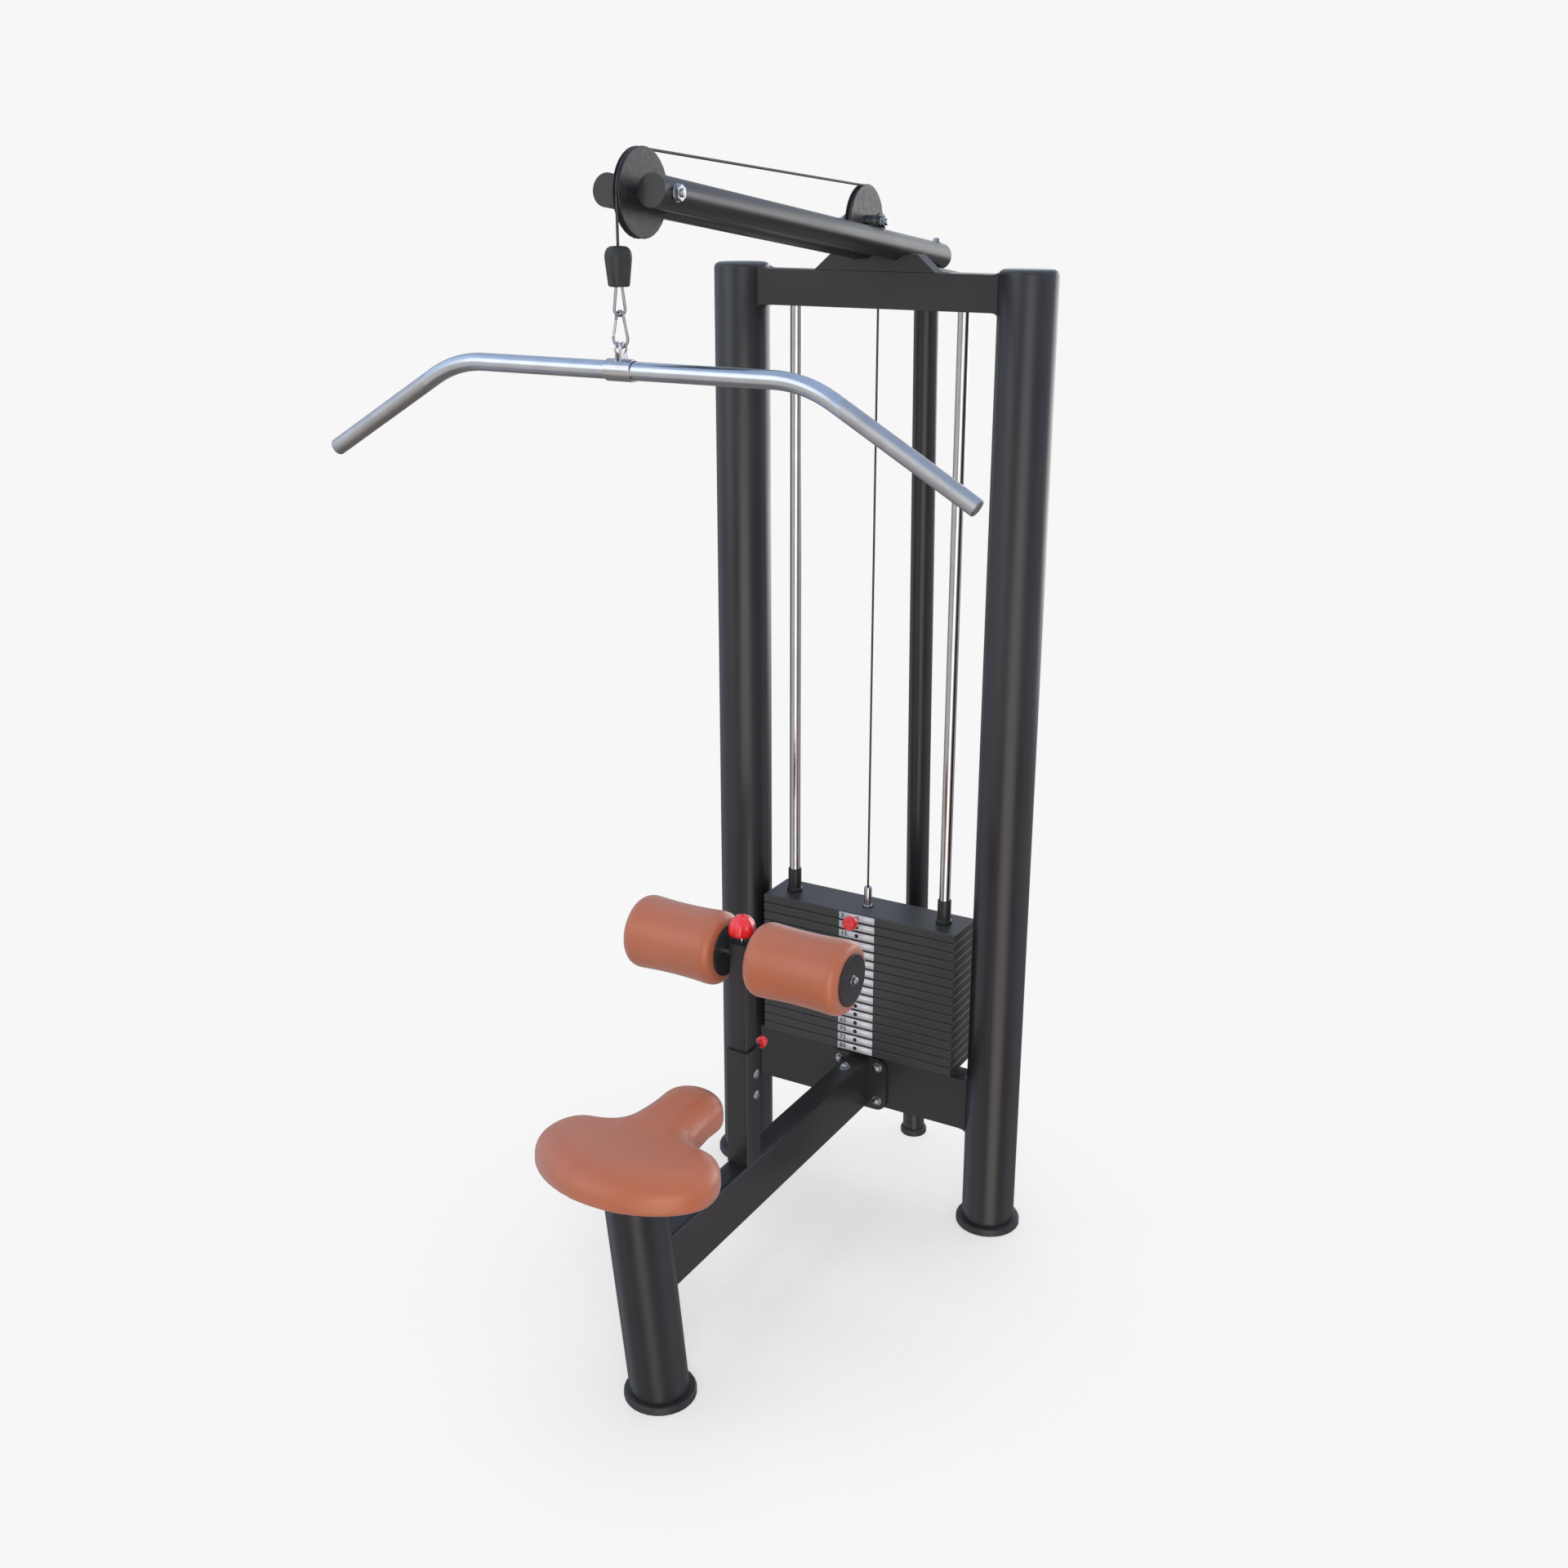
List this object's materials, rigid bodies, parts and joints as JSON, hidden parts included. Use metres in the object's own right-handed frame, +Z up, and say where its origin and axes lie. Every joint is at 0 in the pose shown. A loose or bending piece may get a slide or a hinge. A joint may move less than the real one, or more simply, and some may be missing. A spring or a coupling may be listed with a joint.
{
  "type": "lat pulldown machine",
  "caption": "Pin-loaded cable machine with a saddle seat, padded knee rollers and a bent overhead bar, pulled down against a weight stack.",
  "frame": {"origin": "on the floor, under the centre of the machine's bounding box", "axes": "+Z up, -Y towards the user's end, +X to the right of someone who looks at the stack from the seat"},
  "size_m": [1.1936, 1.3256, 2.201],
  "materials": {
    "frame_paint": "satin powder coat",
    "plate_steel": "satin, fine grain",
    "chrome": "polished",
    "zinc_steel": "satin",
    "wire_rope": "dark coated wire rope",
    "rubber": "matt",
    "black_plastic": "satin",
    "red_plastic": "glossy",
    "leather": "smooth, fine grain"
  },
  "bodies": {
    "frame": {"left_post": "frame_paint", "right_post": "frame_paint", "left_post_foot": "rubber", "right_post_foot": "rubber", "seat_leg_foot": "rubber", "strut_foot": "rubber", "top_crossbeam": "frame_paint", "lower_crossbeam": "frame_paint", "rear_strut": "frame_paint", "seat_beam": "frame_paint", "seat_leg": "frame_paint", "knee_post_sleeve": "frame_paint", "arm_saddle": "frame_paint", "left_arm": "frame_paint", "right_arm": "frame_paint", "front_axle_bolt": "zinc_steel", "rear_axle_bolt": "zinc_steel", "left_guide_rod": "chrome", "right_guide_rod": "chrome", "left_stack_bumper": "rubber", "right_stack_bumper": "rubber", "seat_cushion": "leather", "weight_plate_10": "plate_steel", "weight_plate_15": "plate_steel", "weight_plate_20": "plate_steel", "weight_plate_25": "plate_steel", "weight_plate_30": "plate_steel", "weight_plate_35": "plate_steel", "weight_plate_40": "plate_steel", "weight_plate_45": "plate_steel", "weight_plate_50": "plate_steel", "weight_plate_55": "plate_steel", "weight_plate_60": "plate_steel", "weight_plate_65": "plate_steel", "weight_plate_70": "plate_steel", "weight_plate_75": "plate_steel", "weight_plate_80": "plate_steel", "cable_bar_run": "wire_rope", "cable_top_run": "wire_rope", "cable_stack_run": "wire_rope"},
    "lifted_stack": {"top_plate": "plate_steel", "selector_rod": "zinc_steel", "left_guide_sleeve": "black_plastic", "right_guide_sleeve": "black_plastic", "cable_end_fitting": "chrome"},
    "selector_pin": {"selector_pin": "red_plastic"},
    "front_pulley": {"front_pulley": "black_plastic"},
    "rear_pulley": {"rear_pulley": "black_plastic"},
    "stopper": {"cable_stopper": "rubber"},
    "link": {"cable_link": "chrome"},
    "carabiner": {"carabiner": "chrome"},
    "gate": {"carabiner_gate": "chrome"},
    "collar": {"bar_collar": "chrome"},
    "bar": {"lat_bar": "chrome"},
    "knee_post": {"knee_post": "frame_paint", "roller_axle": "zinc_steel"},
    "left_roller": {"left_knee_roller": "leather"},
    "right_roller": {"right_knee_roller": "leather"},
    "clamp_knob": {"clamp_knob": "red_plastic"},
    "pop_pin": {"pop_pin": "red_plastic"}
  },
  "joints": [
    {"name": "stack_lift", "type": "slide", "parent": "frame", "child": "lifted_stack", "axis": [0, 0, 1], "range_m": [0, 1.1], "deforming": ["cable_stack_run"]},
    {"name": "bar_pull", "type": "slide", "parent": "frame", "child": "stopper", "axis": [0, 0, -1], "range_m": [0, 1.1], "deforming": ["cable_bar_run"]},
    {"name": "front_pulley_spin", "type": "hinge", "parent": "frame", "child": "front_pulley", "pos_m": [0, -0.428, 2.135], "axis": [1, 0, 0], "range_deg": [0, 1005]},
    {"name": "rear_pulley_spin", "type": "hinge", "parent": "frame", "child": "rear_pulley", "pos_m": [0, 0.303, 2.08], "axis": [1, 0, 0], "range_deg": [0, 1005]},
    {"name": "selector_pin_pull", "type": "slide", "parent": "lifted_stack", "child": "selector_pin", "axis": [0, -1, 0], "range_m": [0, 0.1]},
    {"name": "link_swing", "type": "hinge", "parent": "stopper", "child": "link", "pos_m": [0, -0.491, 2.009], "axis": [-0.866, 0.5, 0], "range_deg": [-8, 8]},
    {"name": "carabiner_swing", "type": "hinge", "parent": "link", "child": "carabiner", "pos_m": [0, -0.491, 1.9615], "axis": [0.5, 0.866, 0], "range_deg": [-15, 15]},
    {"name": "gate", "type": "hinge", "parent": "carabiner", "child": "gate", "pos_m": [-0.0122, -0.491, 1.933], "axis": [0, 1, 0], "range_deg": [0, 25], "stiffness_Nm_per_rad": 0.03, "springref_deg": -11.46},
    {"name": "bar_tilt", "type": "hinge", "parent": "carabiner", "child": "collar", "pos_m": [0, -0.491, 1.9281], "axis": [0, 1, 0], "range_deg": [-12, 12]},
    {"name": "bar_roll", "type": "hinge", "parent": "collar", "child": "bar", "pos_m": [0, -0.491, 1.8815], "axis": [1, 0, 0], "continuous": true},
    {"name": "knee_height", "type": "slide", "parent": "frame", "child": "knee_post", "axis": [0, 0, 1], "range_m": [-0.05, 0.1]},
    {"name": "left_roller_spin", "type": "hinge", "parent": "knee_post", "child": "left_roller", "pos_m": [0, -0.154, 0.78], "axis": [1, 0, 0], "continuous": true},
    {"name": "right_roller_spin", "type": "hinge", "parent": "knee_post", "child": "right_roller", "pos_m": [0, -0.154, 0.78], "axis": [1, 0, 0], "continuous": true},
    {"name": "clamp_knob_turn", "type": "hinge", "parent": "knee_post", "child": "clamp_knob", "pos_m": [0, -0.154, 0.836], "axis": [0, 0, 1], "range_deg": [0, 180]},
    {"name": "pop_pin_pull", "type": "slide", "parent": "frame", "child": "pop_pin", "axis": [0, 1, 0], "range_m": [0, 0.012], "stiffness_N_per_m": 400, "springref_m": -0.01}
  ],
  "couplings": [
    {"joint": "bar_pull", "follows": "stack_lift", "ratio": 1},
    {"joint": "front_pulley_spin", "follows": "stack_lift", "rad_per_m": 15.873},
    {"joint": "rear_pulley_spin", "follows": "stack_lift", "rad_per_m": 15.873}
  ]
}
